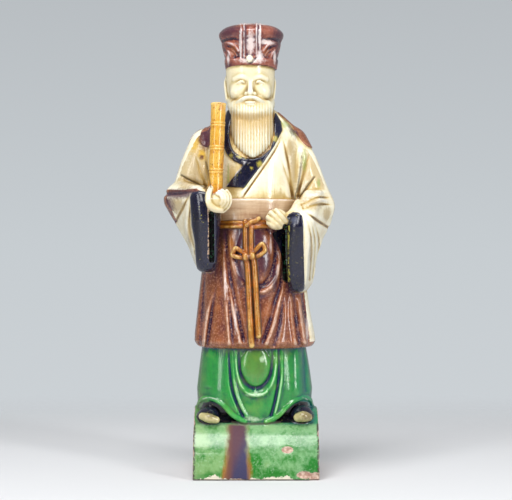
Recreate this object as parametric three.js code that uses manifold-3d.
// A glazed stoneware roof ridge figure: a bearded immortal in a tall cap, holding a bamboo tube,
// fired in one piece with the half-round ridge tile that he stands on.
// Millimetres, +Z up. He faces -Y, and +X is on the right of someone who faces him.
// The origin is on the ground, under the middle of the bounding box.
import * as THREE from "three";
import { mergeVertices } from "three/addons/utils/BufferGeometryUtils.js";
import Module from "manifold-3d";

const wasm = await Module();
wasm.setup();

// ---------------------------------------------------------------- driving dimensions

const TILE = { x: 7, length: 120, radius: 63.5, wall: 14 };

// Heights of the main breaks in the figure.
const HEM_Z = 124; // tunic's hem
const WAIST_Z = 243; // belt cord, and top of the tunic's skirt
const SASH = { bottom: 245, top: 266.5, proud: 2 };
const SHOULDER_Z = 330;
const CHIN_Z = 353;
const BRIM_Z = 396; // foot of the cap
const CROWN_Z = 440; // top of the cap

// Levels of the main forms, each an oval about (x, 0): w is the half width, front and back the depths.
const UNDER_ROBE = [
  { z: 36, x: 5.2, w: 49, front: 34, back: 34 },
  { z: 51, x: 5.2, w: 53, front: 38, back: 36 },
  { z: 66, x: 5.2, w: 56, front: 39.5, back: 37 },
  { z: 82, x: 5.4, w: 56.5, front: 39, back: 36.5 },
  { z: 102, x: 5.4, w: 54, front: 37.5, back: 35 },
  { z: 132, x: 4.8, w: 49, front: 36, back: 33 },
];
const TUNIC = [
  { z: HEM_Z, x: 5.6, w: 56.5, front: 42.5, back: 39 },
  { z: 128, x: 5.5, w: 59, front: 44.7, back: 41.2 },
  { z: 135, x: 5.4, w: 59.2, front: 45, back: 41.5 },
  { z: 154, x: 4.7, w: 56, front: 44.2, back: 39.8 },
  { z: 177, x: 4.2, w: 53, front: 43.2, back: 38 },
  { z: 208, x: 3.7, w: 48.8, front: 41.4, back: 35.2 },
  { z: WAIST_Z, x: 3.4, w: 43.5, front: 38.5, back: 32 },
];
const TORSO = [
  { z: 238, x: 3.2, w: 42.5, front: 37.5, back: 31 },
  { z: 266, x: 3, w: 44, front: 38.5, back: 32 },
  { z: 303, x: 2.4, w: 47, front: 39, back: 33.5 },
  { z: 318, x: 2.2, w: 47, front: 36.5, back: 33 },
  { z: SHOULDER_Z, x: 2.6, w: 46, front: 33, back: 31 },
  { z: 340, x: 2.8, w: 38.5, front: 28.5, back: 26.5 },
  { z: 350, x: 2.4, w: 27, front: 23, back: 18.5 },
  { z: 360, x: 1.2, w: 17, front: 18, back: 13 },
];

// The tunic's pleats from the wearer's right side seam to the left one. Each column is a crest or a trough:
// where it runs in x at the waist, at half height and at the hem, and how far it stands out of the cloth.
const PLEATS = [
  [-39.5, -43.5, -47.5, -1.8],
  [-36, -39, -44.5, 1.4],
  [-31.5, -32.5, -40.5, -2.2],
  [-28.5, -29, -36, 1],
  [-25, -23.4, -19, 1.8],
  [-24, -21, -15.4, -1],
  [-23, -18.4, -8.2, 1.6],
  [-22, -15.6, -3.8, -2.6],
  [-19, -9, 0, 0.6],
  [4, 4, 4, 0],
  [28, 27, 10.5, 0.4],
  [31, 29.5, 13, -2.8],
  [33.5, 32.4, 17, 1.4],
  [35.5, 34.6, 25.2, -1.8],
  [37.5, 37, 31, 1],
  [40, 40.5, 45, 1.4],
  [42, 43.6, 48.6, -1.6],
  [44, 48, 54.2, 1.2],
  [45, 51, 58.4, -1.2],
];
const BACK_PLEAT_COUNT = 11;
const BACK_PLEAT_LIFT = 1.1;

const HEAD = { x: 1, y: -8, w: 23.6, depth: 26 };
const CAP = { x: 2.4, y: -7, depth: 1.03, rib: 7.2 };
const BEARD = { x: 3.4, y: -27, strands: 15, tip: 306.5 };
const HAND = { tube: [-30, -46, 265.5], cord: [27, -47, 247] };
const BAMBOO = {
  foot: [-31.3, -48, 264],
  head: [-28.9, -43.5, 358.5],
  radius: 6.9,
  nodes: [0.31, 0.545, 0.785], // as shares of the length
};

// The hanging sleeves, from top to bottom: cuff end, elbow end and half thickness at each level.
const RIGHT_SLEEVE = [
  { z: 281, cuff: [-48, -34], elbow: [-66, -2], r: 7 },
  { z: 274, cuff: [-44, -40], elbow: [-68, 0], r: 14 },
  { z: 263, cuff: [-42, -42], elbow: [-68.5, 4], r: 15.2 },
  { z: 246, cuff: [-41, -43], elbow: [-60.5, 8], r: 13.6 },
  { z: 222, cuff: [-40.8, -42.5], elbow: [-49.5, 8], r: 10.9 },
  { z: 206, cuff: [-40.5, -41], elbow: [-44.5, 2], r: 9.4 },
  { z: 197, cuff: [-40.5, -38], elbow: [-42, -8], r: 6.5 },
];
const LEFT_SLEEVE = [
  { z: 276, cuff: [50, -32], elbow: [66, -4], r: 8 },
  { z: 267, cuff: [47, -38], elbow: [67, -2], r: 14 },
  { z: 254, cuff: [45.5, -42], elbow: [68, 2], r: 15.6 },
  { z: 241, cuff: [46, -44], elbow: [65, 6], r: 14 },
  { z: 230, cuff: [46, -44], elbow: [59, 8], r: 12 },
  { z: 210, cuff: [46.4, -42], elbow: [56.8, 9], r: 10.6 },
  { z: 193, cuff: [46.6, -41], elbow: [55.5, 7], r: 9.4 },
  { z: 184, cuff: [46.2, -38.5], elbow: [54, 0], r: 8.4 },
  { z: 178, cuff: [45.6, -36], elbow: [50, -10], r: 4.2 },
];
const CUFF = { width: 11, proud: 1.3 };
const BELT = { bottom: 238.6, top: 245.4, proud: 3.6 };

// The narrow mouths of the sleeves: middle x, lowest and highest z, half width, and turn about the upright.
const MOUTHS = [
  { x: -35.2, bottom: 206, top: 254, half: 2.6, turn: 0.16 },
  { x: 36.6, bottom: 187, top: 243, half: 2.6, turn: -0.16 },
];
const MOUTH_DEPTH = { from: 37, length: 26 };

// ---------------------------------------------------------------- geometry helpers

// A closed geometry as a solid that can be joined and cut.
function solid(geometry) {
  const bare = geometry.clone();
  bare.deleteAttribute("normal");
  bare.deleteAttribute("uv");
  const merged = mergeVertices(bare, 1e-3);
  const triVerts = new Uint32Array(merged.index.array);
  const vertProperties = merged.attributes.position.array;
  return new wasm.Manifold(new wasm.Mesh({ numProp: 3, vertProperties, triVerts }));
}

// Rings of equally many points, joined in order and closed with a fan at each end.
function loft(rings) {
  const sides = rings[0].length;
  const middle = (ring) => ring.reduce((sum, p) => sum.add(p), new THREE.Vector3()).divideScalar(sides);
  const points = [...rings.flat(), middle(rings[0]), middle(rings.at(-1))];
  const [first, last] = [points.length - 2, points.length - 1];
  const top = (rings.length - 1) * sides;
  const index = [];
  for (let side = 0; side < sides; side++) {
    const next = (side + 1) % sides;
    for (let ring = 0; ring < top; ring += sides) {
      index.push(ring + side, ring + next, ring + sides + next);
      index.push(ring + side, ring + sides + next, ring + sides + side);
    }
    index.push(first, next, side, last, top + side, top + next);
  }
  const geometry = new THREE.BufferGeometry().setFromPoints(points);
  geometry.setIndex(index);
  return solid(geometry);
}

const v3 = (x, y, z) => new THREE.Vector3(x, y, z);
const mix = THREE.MathUtils.lerp;

// The value between two levels of a form at height z.
function levelAt(levels, z) {
  const above = levels.findIndex((level) => level.z >= z);
  const high = levels[above < 0 ? levels.length - 1 : above];
  const low = levels[Math.max((above < 0 ? levels.length : above) - 1, 0)];
  const t = high.z === low.z ? 0 : (z - low.z) / (high.z - low.z);
  return Object.fromEntries(Object.keys(low).map((key) => [key, mix(low[key], high[key], t)]));
}

// How far forward a form's surface is at x and z.
function frontOf(levels, x, z) {
  const level = levelAt(levels, z);
  const across = THREE.MathUtils.clamp((x - level.x) / level.w, -1, 1);
  return -level.front * Math.sqrt(1 - across * across);
}

// A point of an oval level. The angle is 0 at the front and grows towards +X.
function ovalPoint(level, angle, lift = 0, drop = 0) {
  const depth = Math.cos(angle) > 0 ? level.front : level.back;
  const x = (level.w + lift) * Math.sin(angle);
  const y = -(depth + lift) * Math.cos(angle);
  return v3(level.x + x, y, level.z - drop * Math.max(0, Math.cos(angle)));
}

// Columns spread evenly round a form, going once round from the back.
const evenly = (count) => Array.from({ length: count }, (_, i) => -Math.PI + (2 * Math.PI * i) / count);

const ovals = (levels, angles) => loft(levels.map((level) => angles.map((a) => ovalPoint(level, a))));

// A round bar along a smooth path of [x, y, z, radius], with blunt ends.
function bar(path, { sides = 5, steps = path.length * 2 } = {}) {
  const curve = new THREE.CatmullRomCurve3(path.map(([x, y, z]) => v3(x, y, z)));
  const radius = (t) => {
    const at = Math.min(Math.floor(t * (path.length - 1)), path.length - 2);
    return mix(path[at][3], path[at + 1][3], t * (path.length - 1) - at);
  };
  const frames = curve.computeFrenetFrames(steps, false);
  const ring = (t, step, shrink, shift) => {
    const centre = curve.getPoint(t).addScaledVector(frames.tangents[step], shift);
    return Array.from({ length: sides }, (_, i) => {
      const angle = (2 * Math.PI * i) / sides;
      const reach = radius(t) * shrink;
      return centre
        .clone()
        .addScaledVector(frames.normals[step], reach * Math.cos(angle))
        .addScaledVector(frames.binormals[step], reach * Math.sin(angle));
    });
  };
  const body = Array.from({ length: steps + 1 }, (_, i) => ring(i / steps, i, 1, 0));
  const [start, end] = [path[0][3], path.at(-1)[3]];
  return loft([ring(0, 0, 0.55, -start * 0.75), ...body, ring(1, steps, 0.55, end * 0.75)]);
}

const ball = ([x, y, z], [rx, ry, rz], across = 10, down = 7) =>
  solid(new THREE.SphereGeometry(1, across, down).scale(rx, ry, rz).translate(x, y, z));

// A flat shape drawn in x and z, as thick in y as from front to back.
function plate(shape, front, back, curveSegments = 8) {
  const depth = back - front;
  const geometry = new THREE.ExtrudeGeometry(shape, { depth, bevelEnabled: false, curveSegments });
  return solid(geometry.rotateX(Math.PI / 2).translate(0, back, 0));
}

// A smooth line of [x, z] points laid on a form's front, standing `proud` of it, as a bar of radius r.
const laidOn = (levels, points, r, proud = 0, options = {}) =>
  bar(
    points.map(([x, z]) => [x, frontOf(levels, x, z) - proud, z, r]),
    options,
  );

const join = (...solids) => solids.flat().reduce((all, one) => all.add(one));

// ---------------------------------------------------------------- the ridge tile

// A half-round arch of the given radius, along the tile's length.
function arch(radius, depth) {
  const shape = new THREE.Shape();
  shape.absarc(0, 0, radius, 0, Math.PI, false);
  const geometry = new THREE.ExtrudeGeometry(shape, { depth, bevelEnabled: false, curveSegments: 26 });
  const along = new THREE.Matrix4().makeBasis(v3(0, 1, 0), v3(0, 0, 1), v3(1, 0, 0));
  return solid(geometry.applyMatrix4(along).translate(TILE.x - depth / 2, 0, 0));
}

const channel = arch(TILE.radius - TILE.wall, TILE.length + 20).translate([0, 0, -0.001]);

// ---------------------------------------------------------------- under-robe and shoes

// The front of the under-robe: two leg columns with a panel between, each column's edge a pair of creases.
const UNDER_PLEATS = [
  [-1.35, 0.6],
  [-1.05, 1.2],
  [-0.8, 0.4],
  [-0.62, 1.4],
  [-0.5, 0.2],
  [-0.4, -2.4],
  [-0.31, 1],
  [-0.18, -0.4],
  [0, 0.4],
  [0.18, -0.4],
  [0.34, 1],
  [0.43, -2.4],
  [0.52, 0.6],
  [0.72, 1.4],
  [0.88, 0.4],
  [1.1, 1.2],
  [1.35, 0.6],
];

const UNDER_BACK = { count: 13, crest: 1.2, trough: -0.6 };
const UNDER_PANEL = { angle: 0.6, foot: 36, top: 110, narrow: 0.55, wide: 1.08 };

function underRobe() {
  const { count, crest, trough } = UNDER_BACK;
  const back = Array.from({ length: count }, (_, i) => {
    const angle = Math.PI / 2 + (Math.PI * (i + 0.8)) / (count + 1.6);
    return [angle, i % 2 ? crest : trough];
  });
  // The middle panel narrows towards the feet, so the creases beside it lean in.
  const lean = (angle, z) => {
    if (Math.abs(angle) > UNDER_PANEL.angle) return angle;
    const up = Math.min((z - UNDER_PANEL.foot) / (UNDER_PANEL.top - UNDER_PANEL.foot), 1);
    return angle * mix(UNDER_PANEL.narrow, UNDER_PANEL.wide, up);
  };
  const ring = (level) =>
    [...UNDER_PLEATS, ...back].map(([angle, lift]) => ovalPoint(level, lean(angle, level.z), lift));
  return loft(UNDER_ROBE.map(ring));
}

// The hem is pulled up over each shoe: an opening, and the rolled edge round it.
const HEM_ARCHES = [
  [[-49, 60], [-46, 69], [-38, 73], [-27, 70], [-15, 60], [-4, 51]],
  [[59.5, 62], [56, 70], [48, 73.5], [38, 69], [27, 58], [18, 51]],
];

function hemOpening(edge) {
  const shape = new THREE.Shape();
  shape.moveTo(edge[0][0], 30);
  shape.lineTo(...edge[0]);
  shape.splineThru(edge.slice(1).map(([x, z]) => new THREE.Vector2(x, z)));
  shape.lineTo(edge.at(-1)[0], 30);
  return plate(shape, -70, -24, 3);
}

function hemRoll(edge) {
  const raised = edge.map(([x, z]) => [x, z + 1.2]);
  return laidOn(UNDER_ROBE, raised, 2.3, -0.4, { sides: 4, steps: 6 });
}

// A toe cap, sunk into the tile.
const shoe = (x) => ball([x, -27, 52.5], [12, 18, 10.5], 10, 6);

// A pouch of slack cloth, and the U-shaped roll that its lower edge makes.
const UNDER_POUCH = { x: 6.4, z: 107, w: 15.5, h: 20 };
const UNDER_ROLL = [
  [-13, 118], [-12, 104], [-9, 91], [-2, 82], [7, 79],
  [16, 82], [23, 91], [26, 104], [27, 118],
];

// ---------------------------------------------------------------- the tunic's skirt

// Where a pleat runs at height z: a smooth line through its places at the waist, half height and hem.
function pleatX([waist, middle, hem], z) {
  const t = THREE.MathUtils.clamp((z - HEM_Z) / (WAIST_Z - HEM_Z), 0, 1);
  const bend = 2 * middle - (waist + hem) / 2;
  return (1 - t) * (1 - t) * hem + 2 * t * (1 - t) * bend + t * t * waist;
}

function tunic() {
  const backAngle = (i) => Math.PI / 2 + (Math.PI * (i + 0.5)) / BACK_PLEAT_COUNT;
  const ring = (level) => {
    const droop = level.z < 130 ? 2.5 : 0;
    const front = PLEATS.map((pleat) => {
      const across = THREE.MathUtils.clamp((pleatX(pleat, level.z) - level.x) / level.w, -0.999, 0.999);
      return ovalPoint(level, Math.asin(across), pleat[3], droop);
    });
    const back = Array.from({ length: BACK_PLEAT_COUNT }, (_, i) =>
      ovalPoint(level, backAngle(i), (i % 2 ? -1 : 1) * BACK_PLEAT_LIFT),
    );
    return [...front, ...back];
  };
  return loft(TUNIC.map(ring));
}

const TUNIC_POUCH = { x: 6, z: 208, w: 19, h: 27 };
const TUNIC_ROLL = [
  [-19.5, 234], [-16.8, 216], [-12.6, 196], [-5, 183.5], [6, 178],
  [16, 179], [24.5, 186], [28.7, 201], [30.8, 216], [32.5, 234],
];

// Slack cloth hanging in a U: a low bulge inside, and a roll of cloth round it.
function drape(levels, pouch, roll, r) {
  const surface = frontOf(levels, pouch.x, pouch.z);
  const bulge = ball([pouch.x, surface + 3.5, pouch.z], [pouch.w, 6.5, pouch.h], 10, 7);
  return bulge.add(laidOn(levels, roll, r, 0.2, { sides: 4, steps: 10 }));
}

// ---------------------------------------------------------------- sash, belt cord and bow

// A band round the torso, standing `proud` of it, between two heights.
function girdle({ bottom, top, proud }) {
  const level = (z, lift) => {
    const { x, w, front, back } = levelAt(TORSO, z);
    return { z, x, w: w + lift, front: front + lift, back: back + lift };
  };
  const edge = Math.min(1.6, (top - bottom) / 3);
  const levels = [level(bottom, 0), level(bottom + edge, proud), level(top - edge, proud), level(top, 0)];
  return ovals(levels, evenly(24));
}

// The cord's doubled fall, its bow and its two long ends.
function bow() {
  const hang = (x, z) => frontOf(TUNIC, x, z) - 2.6;
  const cord = (points, steps) => bar(points.map(([x, z]) => [x, hang(x, z), z, 2.9]), { sides: 4, steps });
  const loop = (x, z) => {
    const tilt = x < 0 ? 12 : -24;
    return ball([0, 0, 0], [7.4, 2.8, 3.6], 8, 4).rotate([0, tilt, 0]).translate([x, hang(x, z) - 0.6, z]);
  };
  return [
    cord([[-2.8, 243], [-2.8, 211]], 1),
    cord([[2.6, 243], [2.6, 211]], 1),
    cord([[-2.5, 213], [-0.4, 185], [1, 158], [2.4, 128]], 4),
    cord([[1.8, 214], [5.6, 190], [7.4, 165], [9.4, 136]], 4),
    loop(-8, 214),
    loop(8, 217),
    ball([-0.4, -42.2, WAIST_Z], [6, 3.4, 4.2], 8, 4),
  ];
}

// ---------------------------------------------------------------- torso, cape, collar

function torso() {
  return ovals(TORSO, evenly(24));
}

// The short cape lies on the shoulders and falls down the back in leaf-shaped points.
function cape() {
  const rows = [
    { z: 351, grow: 1.6 },
    { z: 344, grow: 2 },
    { z: 336, grow: 2.2 },
    { z: 322, grow: 2 },
    { z: 306, grow: 1.6 },
  ];
  const angles = Array.from({ length: 19 }, (_, i) => mix(0.36 * Math.PI, 1.64 * Math.PI, i / 18));
  const lobe = (angle) => 7 * Math.abs(Math.sin(angle * 3.5));
  const rings = rows.map(({ z, grow }, row) => {
    const outer = angles.map((angle) => {
      const reach = row / (rows.length - 1);
      const height = z - reach * (lobe(angle) + 10 * Math.max(0, -Math.cos(angle)));
      const level = levelAt(TORSO, height);
      return ovalPoint({ ...level, z: height }, angle, grow);
    });
    return [...outer, v3(TORSO[0].x, -4, z)];
  });
  return loft(rings.reverse());
}

// The dark collar lies round the beard, and its end crosses to the wearer's right side as the lapel.
function collar() {
  const left = [[-16, 350], [-19.5, 338], [-20.5, 326], [-16, 312.5], [-7, 304], [4, 300.5]];
  const right = [[24, 352], [28.5, 340], [27.5, 328], [21.5, 315], [12.5, 305.5], [3, 298]];
  const lapel = [[28, 336], [22, 318], [11, 304], [-1, 291], [-15, 276]];
  return [
    laidOn(TORSO, left, 3.4, -0.6, { sides: 4, steps: 5 }),
    laidOn(TORSO, right, 3.6, -0.4, { sides: 4, steps: 5 }),
    laidOn(TORSO, lapel, 5.6, -3.2, { sides: 6, steps: 4 }),
    laidOn(TORSO, [[31, 328], [14.4, 303], [-6.5, 270]], 2.4, -0.9, { sides: 4, steps: 3 }),
  ];
}

// ---------------------------------------------------------------- arms, sleeves and hands

// A ring at one level of a sleeve: half a circle round the cuff end, half a circle round the elbow end, and
// straight sides between them.
function sleeveRing({ z, cuff, elbow, r }, grow = 0, reach = 1, ripple = 0) {
  const near = new THREE.Vector2(...cuff);
  const far = new THREE.Vector2(...elbow);
  const run = far.clone().sub(near);
  const length = run.length() * reach;
  run.normalize();
  const across = new THREE.Vector2(-run.y, run.x);
  const radius = r + grow;
  const at = (along, side) =>
    v3(near.x + run.x * along + across.x * side, near.y + run.y * along + across.y * side, z);
  const halfTurn = (along, start) =>
    Array.from({ length: 5 }, (_, i) => start + (Math.PI * i) / 4).map((angle) =>
      at(along + radius * Math.cos(angle), radius * Math.sin(angle)),
    );
  const wave = (i) => (i % 2 ? 1 : -1) * ripple;
  const side = (sign, steps) => steps.map((i) => at((length * i) / 5, sign * (radius + wave(i))));
  return [
    ...halfTurn(0, Math.PI / 2),
    ...side(-1, [1, 2, 3, 4]),
    ...halfTurn(length, -Math.PI / 2),
    ...side(1, [4, 2]),
  ];
}

function sleeve(levels) {
  const hanging = levels.map((level, i) => sleeveRing(level, 0, 1, i > 2 ? 1.1 : 0.3)).reverse();
  const { width, proud } = CUFF;
  const cuffReach = ({ cuff, elbow }) => width / Math.hypot(cuff[0] - elbow[0], cuff[1] - elbow[1]);
  const band = levels.slice(1, -1).map((level) => {
    const flush = { ...level, r: Math.min(level.r, 10.4) };
    return sleeveRing(flush, proud, cuffReach(level) * 0.4);
  });
  return loft(hanging).add(loft(band.reverse()));
}

// The slot of a sleeve's mouth, cut into the cuff.
function mouth({ x, bottom, top, half, turn }) {
  const shape = new THREE.Shape();
  shape.absarc(0, top - half, half, 0, Math.PI, false);
  shape.absarc(0, bottom + half, half, Math.PI, 2 * Math.PI, false);
  const depth = MOUTH_DEPTH.length;
  const slot = new THREE.ExtrudeGeometry(shape, { depth, bevelEnabled: false, curveSegments: 4 });
  return solid(slot.rotateX(Math.PI / 2).rotateZ(turn).translate(x, -MOUTH_DEPTH.from, 0));
}

const ARMS = {
  right: {
    upper: [[-38, 3, 323, 18.5], [-46.5, 1, 306, 18.5], [-56.5, -1, 288, 18.5], [-67, -2, 268, 17]],
    fore: [[-66.5, -3, 271, 15.5], [-56, -20, 272, 14.5], [-44, -36, 270, 11.5], [-36, -43, 267, 8]],
  },
  left: {
    upper: [[41, 3, 322, 19], [50.5, 1, 303, 18.5], [59.5, -1, 282, 18.5], [67.5, -2, 260, 16.3]],
    fore: [[67, -3, 262, 16], [58, -22, 258, 14.5], [48, -36, 252, 12], [36, -44, 247, 7.5]],
  },
};

const arms = () =>
  Object.values(ARMS).flatMap(({ upper, fore }) => [
    bar(upper, { sides: 10, steps: 4 }),
    bar(fore, { sides: 8, steps: 3 }),
  ]);

// Creases where the sleeves bend: shallow furrows, cut last.
const SLEEVE_CREASES = [
  [[-84, -14, 277, 1.2], [-52, -34, 274, 2.2]],
  [[-66, -16, 302, 1], [-42, -34, 281, 2.2]],
  [[49, -18, 316, 1], [46, -34, 270, 2.4]],
  [[47, -42, 261, 1.8], [80, -12, 268, 1.6]],
  [[52, -42, 255, 1.8], [80, -8, 241, 1.6]],
];

// The wearer's right fist, closed round the foot of the bamboo: four fingers nested in arcs on one side,
// the thumb on the other.
function tubeHand() {
  const [x, y, z] = HAND.tube;
  const finger = ({ radius, from, to, bulge }) => {
    const path = [0, 1, 2, 3, 4].map((i) => {
      const angle = THREE.MathUtils.degToRad(mix(from, to, i / 4));
      const rise = 0.9 * radius * Math.sin(angle);
      return [x - 2 + radius * Math.cos(angle), y - bulge + 1.6 * Math.sin(angle) ** 2, z + rise, 2];
    });
    return bar(path, { sides: 4, steps: 4 });
  };
  const fingers = [
    { radius: 6.4, from: 72, to: -30, bulge: 9.2 },
    { radius: 9, from: 66, to: -48, bulge: 8.8 },
    { radius: 11.6, from: 56, to: -62, bulge: 7.2 },
    { radius: 14, from: 42, to: -64, bulge: 4.6 },
  ];
  const thumb = [
    [x - 6.2, y - 6.6, z + 10, 2.6],
    [x - 8.8, y - 7, z - 1, 3.4],
    [x - 4.6, y - 7.8, z - 8.6, 3.4],
    [x + 2, y - 7.2, z - 9.6, 2.8],
  ];
  return [ball([x + 2, y + 1, z], [12, 8, 11.5]), bar(thumb, { steps: 5 }), ...fingers.map(finger)];
}

// The wearer's left fist, holding the cord: four fingers side by side across it, and the thumb below.
function cordHand() {
  const [x, y, z] = HAND.cord;
  const finger = (i) => {
    const across = x - 9.2 + 3.1 * i;
    const up = z + 0.6 + 2.9 * i;
    const path = [
      [across - 0.6, y - 2.4, up + 1.6, 2],
      [across + 3, y - 6.8, up - 2.8, 2.3],
      [across + 8.2, y - 6.8, up - 8.8, 2.1],
    ];
    return bar(path, { sides: 4, steps: 2 });
  };
  const thumb = bar([[x - 6, y - 4, z - 4.4, 2.2], [x - 1, y - 6, z - 8.4, 2.8], [x + 9, y - 4, z - 7.4, 3]]);
  const wrist = bar([[x + 4, y, z - 1, 7], [x + 12, y + 3, z + 1, 7.5]], { sides: 8, steps: 1 });
  return [ball([x + 2.6, y + 0.4, z - 0.6], [9.4, 7.4, 9.4]), wrist, thumb, ...[0, 1, 2, 3].map(finger)];
}

// The bamboo tube: a turned stick with a flared end and a double ring at each of its nodes.
function bamboo() {
  const { foot, head, radius, nodes } = BAMBOO;
  const from = v3(...foot);
  const run = v3(...head).sub(from);
  const length = run.length();
  const profile = [[0, 0], [radius, 0]];
  for (const share of nodes) {
    const z = share * length;
    profile.push([radius, z - 2.6], [radius + 1, z - 1], [radius + 1, z + 1], [radius, z + 2.6]);
  }
  profile.push([radius, length - 3], [radius + 1.1, length - 1.5], [radius + 1.1, length], [0, length]);
  const turned = new THREE.LatheGeometry(profile.map(([r, z]) => new THREE.Vector2(r, z)), 10);
  const aim = new THREE.Quaternion().setFromUnitVectors(v3(0, 1, 0), run.normalize());
  return solid(turned.applyQuaternion(aim).translate(...foot));
}

// ---------------------------------------------------------------- head, beard and cap

// How far the face stands out of the plain oval of the head, at x from its middle and height z.
function faceRelief(x, z) {
  const side = Math.abs(x);
  const bump = (at, spread, value) => Math.exp(-(((value - at) / spread) ** 2));
  const nose = z > 369 && z < 389 ? mix(5.4, 1, (z - 369) / 20) * bump(0, 3.6, side) : 0;
  const brow = 1.7 * bump(9.5, 6.5, side) * bump(389, 3, z);
  const socket = -1.5 * bump(9, 5, side) * bump(383.5, 4, z);
  const cheek = 1.5 * bump(12, 6, side) * bump(373, 6, z);
  const moustache = 1.9 * bump(7, 6, side) * bump(365.5 - 0.35 * side, 2.6, z);
  const chin = 1.8 * bump(0, 8, side) * bump(355, 4, z);
  return nose + brow + socket + cheek + moustache + chin;
}

function head() {
  const { x, y, w, depth } = HEAD;
  const width = [[346, 0.62], [353, 0.82], [360, 0.94], [372, 1], [394, 0.98], [408, 0.92]];
  const rows = [346, 353, 358, 362, 366, 370, 374, 379, 384, 389, 398];
  const share = (z) => levelAt(width.map(([height, value]) => ({ z: height, value })), z).value;
  // The columns are closest together on the face.
  const columns = evenly(22).map((angle) => angle - 0.45 * Math.sin(angle));
  const rings = rows.map((z) =>
    columns.map((angle) => {
      const across = w * share(z) * Math.sin(angle);
      const relief = Math.cos(angle) > 0 ? faceRelief(across, z) : 0;
      return v3(x + across, y - depth * share(z) * Math.cos(angle) - relief, z);
    }),
  );
  const ears = [-1, 1].map((side) => ball([x + (w + 0.8) * side, y + 3, 380], [2.8, 5.6, 12.5], 6, 6));
  return [loft(rings), ...ears];
}

// A long beard, cut as parallel strands, that ends in a round tip on the chest.
function beard() {
  const { x, y, strands, tip } = BEARD;
  const rows = [
    [tip, 4, 14.8], [tip + 4, 10.8, 15.8], [tip + 13, 17.2, 15.3], [tip + 26, 20.4, 13.4],
    [CHIN_Z, 19.5, 7.5], [CHIN_Z + 7, 16, 3.5],
  ];
  const columns = 2 * strands;
  const ring = ([z, wide, deep]) => {
    const points = [];
    for (let i = 0; i <= columns; i++) {
      const angle = -Math.PI / 2 + (Math.PI * i) / columns;
      const groove = i % 2 ? 0.45 : -0.45;
      points.push(v3(x + (wide + groove) * Math.sin(angle), y - (deep + groove) * Math.cos(angle) ** 0.8, z));
    }
    return [...points, v3(x + wide * 0.6, y + 8, z), v3(x - wide * 0.6, y + 8, z)];
  };
  return loft(rows.map(ring));
}

// The tall cap: a brim band, a flared drum with a rolled top edge, and a low crown.
const CAP_PROFILE = [
  { z: BRIM_Z - 2, r: 25.4, fold: 0 },
  { z: 402.5, r: 26.6, fold: 0 },
  { z: 404, r: 25.4, fold: 0.4 },
  { z: 413, r: 27.6, fold: 1 },
  { z: 421.5, r: 29.4, fold: 0.3 },
  { z: 424, r: 31.2, fold: 0 },
  { z: 430, r: 31.2, fold: 0 },
  { z: 435, r: 26.5, fold: 0 },
  { z: CROWN_Z, r: 8, fold: 0 },
];

function cap() {
  // Upright folds run round the drum, but not over the smooth panel at the front.
  const columns = evenly(30);
  const crease = (angle, i) => (Math.abs(angle) < 0.35 ? 0 : i % 2 ? 0.8 : -0.8);
  const rings = CAP_PROFILE.map(({ z, r, fold }) =>
    columns.map((angle, i) => {
      const reach = r + fold * crease(angle, i);
      return v3(CAP.x + reach * Math.sin(angle), CAP.y - CAP.depth * reach * Math.cos(angle), z);
    }),
  );
  const onDrum = (x, z) => {
    const radius = levelAt(CAP_PROFILE, z).r;
    return CAP.y - CAP.depth * Math.sqrt(Math.max(radius ** 2 - (x - CAP.x) ** 2, 0));
  };
  // A rib on each side of the front panel runs up the drum and back over the crown.
  const rib = (side) => {
    const x = CAP.x - 1 + side * CAP.rib;
    const rise = [403, 421, 430].map((z) => [x, onDrum(x, z), z, 2]);
    return bar([...rise, [x, CAP.y - 13, 437.4, 1.8]], { sides: 4, steps: 4 });
  };
  // Two leaf-like folds rise outwards from the panel on each side.
  const leaf = (side, rise) => {
    const path = [[10.5, 0], [17, 5], [24, 8]];
    const point = ([out, up]) => {
      const x = CAP.x + out * side;
      return [x, onDrum(x, rise + up) + 0.3, rise + up, 1.5];
    };
    return bar(path.map(point), { sides: 4, steps: 2 });
  };
  const stone = ball([CAP.x - 1.8, onDrum(CAP.x, 404) + 0.6, 404.5], [3.8, 2.8, 3.8], 6, 4);
  return [loft(rings), ...[-1, 1].flatMap((side) => [rib(side), leaf(side, 409)]), stone];
}

// ---------------------------------------------------------------- one fired piece

// Clay fills the fold between the left sleeve and the skirt.
const SLEEVE_FILL = [[42, -18.5, 196, 6.5], [42, -16, 250, 6.5]];

const clay = join(
  underRobe().subtract(join(HEM_ARCHES.map(hemOpening))),
  HEM_ARCHES.map(hemRoll),
  drape(UNDER_ROBE, UNDER_POUCH, UNDER_ROLL, 2),
  shoe(-38.5),
  shoe(50.5),
  tunic(),
  drape(TUNIC, TUNIC_POUCH, TUNIC_ROLL, 2.6),
  torso(),
  cape(),
  girdle(SASH),
  arms(),
  sleeve(RIGHT_SLEEVE),
  sleeve(LEFT_SLEEVE),
  bar(SLEEVE_FILL, { sides: 8, steps: 1 }),
);
const creased = clay.subtract(
  join(
    SLEEVE_CREASES.map((path) => bar(path, { sides: 3, steps: 1 })),
    MOUTHS.map(mouth),
  ),
);
const figure = join(
  creased,
  collar(),
  girdle(BELT),
  bow(),
  tubeHand(),
  cordHand(),
  bamboo(),
  head(),
  beard(),
  cap(),
  arch(TILE.radius, TILE.length),
).subtract(channel);

// The joins leave slivers along their seams. Every edge shorter than SHORTEST_EDGE closes onto one of its
// ends, where the surface stays one closed skin and no large face turns over.
const SHORTEST_EDGE = 0.7;
const SLIVER = { least: 1e-3, small: 0.02 }; // twice the area of a face: none left, and free to turn
const MOST_TURN = 0.5; // radians

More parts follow.
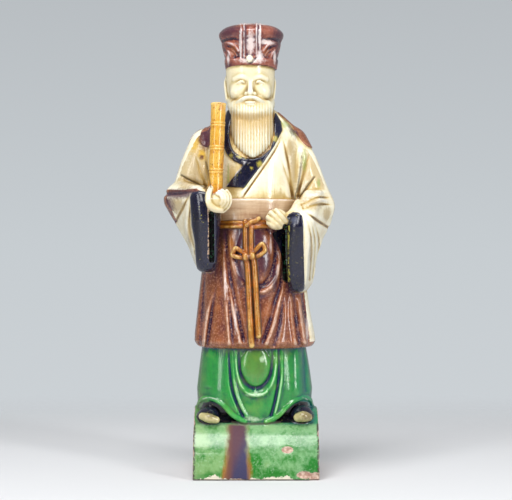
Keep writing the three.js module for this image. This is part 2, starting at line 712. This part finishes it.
function closeShortEdges({ vertProperties, triVerts }) {
  const count = vertProperties.length / 3;
  const points = Array.from({ length: count }, (_, i) => v3(0, 0, 0).fromArray(vertProperties, 3 * i));
  const corners = Array.from(triVerts);
  const faces = Array.from({ length: corners.length / 3 }, (_, i) => corners.slice(3 * i, 3 * i + 3));
  const facesAt = points.map(() => new Set());
  faces.forEach((face, i) => face.forEach((corner) => facesAt[corner].add(i)));

  const areaNormal = ([a, b, c]) => b.clone().sub(a).cross(c.clone().sub(a));
  const around = (point) => {
    const near = new Set([...facesAt[point]].flatMap((i) => faces[i]));
    near.delete(point);
    return near;
  };
  const closes = (from, to) => {
    const others = around(to);
    const shared = [...around(from)].filter((point) => others.has(point));
    if (shared.length !== 2) return false;
    return [...facesAt[from]].every((i) => {
      if (faces[i].includes(to)) return true;
      const before = areaNormal(faces[i].map((corner) => points[corner]));
      const after = areaNormal(faces[i].map((corner) => points[corner === from ? to : corner]));
      if (after.length() <= SLIVER.least) return false;
      return before.length() < SLIVER.small || before.angleTo(after) < MOST_TURN;
    });
  };
  const close = (from, to) => {
    for (const i of [...facesAt[from]]) {
      if (faces[i].includes(to)) {
        faces[i].forEach((corner) => facesAt[corner].delete(i));
        faces[i] = null;
      } else {
        faces[i] = faces[i].map((corner) => (corner === from ? to : corner));
        facesAt[to].add(i);
      }
    }
  };
  const shortEdge = ([a, b, c]) => {
    const edges = [[a, b], [b, a], [b, c], [c, b], [c, a], [a, c]];
    const isShort = (from, to) => points[from].distanceTo(points[to]) < SHORTEST_EDGE;
    return edges.find(([from, to]) => isShort(from, to) && closes(from, to));
  };

  for (let found = true; found; ) {
    found = false;
    for (let i = 0; i < faces.length; i++) {
      const edge = faces[i] && shortEdge(faces[i]);
      if (!edge) continue;
      close(...edge);
      found = true;
    }
  }
  const kept = faces.filter(Boolean).flat();
  return new THREE.BufferGeometry().setFromPoints(kept.map((corner) => points[corner]));
}

function meshOf(made, name, material) {
  const geometry = closeShortEdges(made.getMesh());
  geometry.computeVertexNormals();
  const mesh = new THREE.Mesh(geometry, material);
  mesh.name = name;
  return mesh;
}

const glaze = new THREE.MeshStandardMaterial({ color: 0xd8c9a4, roughness: 0.25, metalness: 0 });
const { min, max } = figure.boundingBox();
const centred = figure.translate([-(min[0] + max[0]) / 2, -(min[1] + max[1]) / 2, -min[2]]);
const ridgeFigure = new THREE.Group();
ridgeFigure.add(meshOf(centred, "ridge_figure", glaze));

export default ridgeFigure;
